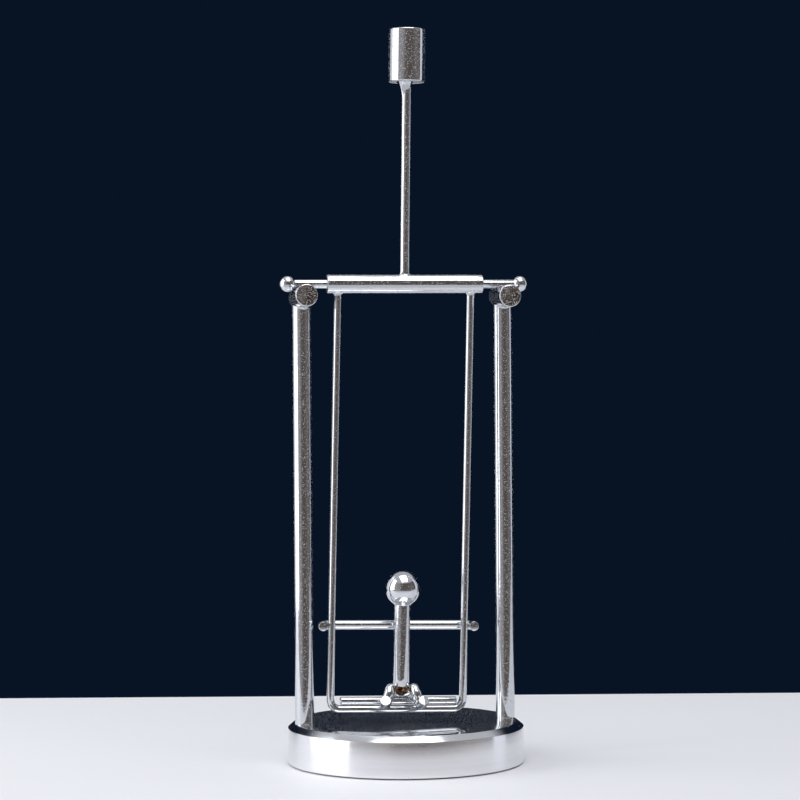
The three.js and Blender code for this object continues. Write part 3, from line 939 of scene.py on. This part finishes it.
def makeCamera():
    data = bpy.data.cameras.new("camera")
    data.lens, data.sensor_width = camera["lens"], camera["sensor"]
    data.clip_start, data.clip_end = 0.01, 20
    item = bpy.data.objects.new("camera", data)
    bpy.context.scene.collection.objects.link(item)
    yaw, pitch, roll = (math.radians(camera[k]) for k in ("yaw", "pitch", "roll"))
    look = ahead * math.cos(yaw) + toRight * math.sin(yaw)
    side = toRight * math.cos(yaw) - ahead * math.sin(yaw)
    down = look * math.cos(pitch) + up * math.sin(pitch)
    over = up * math.cos(pitch) - look * math.sin(pitch)
    finalSide = side * math.cos(roll) + over * math.sin(roll)
    finalUp = over * math.cos(roll) - side * math.sin(roll)
    matrix = Matrix((finalSide, finalUp, -down)).transposed().to_4x4()
    spot = -ahead * camera["distance"] + up * camera["height"]
    matrix.translation = spot * mm
    item.matrix_world = matrix
    bpy.context.scene.camera = item


makeCamera()


table = dict(back=176, front=150, half=750, thick=18, edge=1.5)


def makeTable():
    mesh = bpy.data.meshes.new("tableTop")
    bm = bmesh.new()
    corners = [(-table["half"], -table["front"]), (table["half"], -table["front"]),
               (table["half"], table["back"]), (-table["half"], table["back"])]
    top = [bm.verts.new((toRight * x + ahead * y) * mm) for x, y in corners]
    low = [bm.verts.new(v.co - up * table["thick"] * mm) for v in top]
    bm.faces.new(top)
    bm.faces.new(low[::-1])
    for k in range(4):
        n = (k + 1) % 4
        bm.faces.new((top[k], low[k], low[n], top[n]))
    bmesh.ops.bevel(bm, geom=[e for e in bm.edges], offset=table["edge"] * mm, segments=3, affect="EDGES")
    bmesh.ops.recalc_face_normals(bm, faces=bm.faces)
    finishMesh(bm, mesh, crease["table"])
    item = bpy.data.objects.new("tableTop", mesh)
    bpy.context.scene.collection.objects.link(item)
    # painted board: white satin paint, with the roller's faint stipple
    material, tree, shader, place = startMaterial("paintedBoardSatin", {
        "Base Color": linear("#F1F2F6"), "Roughness": 0.55, "IOR": 1.5})
    stipple = addNode(tree, "ShaderNodeTexNoise", {"Scale": 1 / (1.5 * mm), "Detail": 3.0},
                      {"Vector": place})
    bump = addNode(tree, "ShaderNodeBump", {"Strength": 0.3, "Distance": 0.02 * mm},
                   {"Height": stipple.outputs[0]})
    tree.links.new(bump.outputs[0], shader.inputs["Normal"])
    mesh.materials.append(material)


makeTable()


# flat soft lights: side is degrees to the right of the camera, seen from the toy, and each light
# faces the toy's middle line at its own height unless aim says otherwise
softboxes = [
    dict(name="softboxLeft", side=-79, distance=650, height=420, width=570, tall=850, brightness=1.7,
         colour="#FFFFFF"),
    dict(name="softboxFarLeft", side=-115, distance=650, height=420, width=260, tall=850, brightness=0.7,
         colour="#F4F7FF"),
    dict(name="softboxTop", side=20, distance=280, height=930, width=620, tall=900, brightness=2.2,
         colour="#FFFFFF", aim=(0, 0, 60)),
    dict(name="stripRight", side=101, distance=800, height=350, width=260, tall=800, brightness=0.7,
         colour="#EAF1FF"),
]


wattsPerSquareMetre = 4  # so that brightness means the same for a light of any size


def makeSoftbox(name, side, distance, height, width, tall, brightness, colour, aim=None):
    data = bpy.data.lights.new(name, "AREA")
    data.shape = "RECTANGLE"
    data.size, data.size_y = width * mm, tall * mm
    data.energy = brightness * wattsPerSquareMetre * data.size * data.size_y
    data.color = linear(colour)[:3]
    item = bpy.data.objects.new(name, data)
    bpy.context.scene.collection.objects.link(item)
    angle = math.radians(side)
    spot = (-ahead * math.cos(angle) + toRight * math.sin(angle)) * distance + up * height
    away = spot - Vector(aim or (0, 0, height))
    item.matrix_world = basisOf(spot * mm, away, up.cross(away))
    item.visible_camera = False


for box in softboxes:
    makeSoftbox(**box)


# the room runs from the left side to the right, and floor and ceiling are sines of their elevation
studio = dict(behind="#081324", floor="#D4D6DB", ceiling="#BDBFC4", floorFrom=-0.15, floorFull=-0.28,
              ceilingFrom=0.54, ceilingFull=0.68, behindFrom=-0.5, behindFull=0.3)
roomShades = [(0.0, "#B4B4B8"), (0.1, "#A6A6AA"), (0.32, "#949090"), (0.42, "#6E6664"),
              (0.6, "#5E5653"), (0.8, "#625A57"), (0.93, "#76706C"), (1.0, "#8C8480")]


def makeWorld():
    # a dim studio: dark blue behind the toy, and a warm dark room in front of it
    world = bpy.data.worlds.new("dimStudio")
    bpy.context.scene.world = world
    world.use_nodes = True
    tree = world.node_tree
    tree.nodes.clear()
    direction = addNode(tree, "ShaderNodeTexCoord").outputs["Generated"]
    depth = addNode(tree, "ShaderNodeVectorMath", {"operation": "DOT_PRODUCT", 1: ahead}, {0: direction})
    behind = addNode(tree, "ShaderNodeMapRange", {
        "From Min": studio["behindFrom"], "From Max": studio["behindFull"]},
        {"Value": depth.outputs["Value"]})
    aside = addNode(tree, "ShaderNodeVectorMath", {"operation": "DOT_PRODUCT", 1: toRight}, {0: direction})
    spread = addNode(tree, "ShaderNodeMapRange", {"From Min": -1.0, "From Max": 1.0},
                     {"Value": aside.outputs["Value"]})
    room = addNode(tree, "ShaderNodeValToRGB", {}, {"Fac": spread.outputs[0]},
                   [(place, linear(shade)) for place, shade in roomShades])
    height = addNode(tree, "ShaderNodeSeparateXYZ", {}, {0: direction})
    floor = addNode(tree, "ShaderNodeMapRange", {
        "From Min": studio["floorFrom"], "From Max": studio["floorFull"]}, {"Value": height.outputs[2]})
    roomFloor = addNode(tree, "ShaderNodeMix", {"data_type": "RGBA", 7: linear(studio["floor"])},
                        {0: floor.outputs[0], 6: room.outputs[0]})
    mixed = addNode(tree, "ShaderNodeMix", {"data_type": "RGBA", 7: linear(studio["behind"])},
                    {0: behind.outputs[0], 6: roomFloor.outputs[2]})
    ceiling = addNode(tree, "ShaderNodeMapRange", {
        "From Min": studio["ceilingFrom"], "From Max": studio["ceilingFull"]}, {"Value": height.outputs[2]})
    lit = addNode(tree, "ShaderNodeMix", {"data_type": "RGBA", 7: linear(studio["ceiling"])},
                  {0: ceiling.outputs[0], 6: mixed.outputs[2]})
    background = addNode(tree, "ShaderNodeBackground", {"Strength": 1.0}, {"Color": lit.outputs[2]})
    addNode(tree, "ShaderNodeOutputWorld", {}, {"Surface": background.outputs[0]})


makeWorld()
bpy.context.scene.view_settings.view_transform = "Standard"
print("stage, light and camera made")
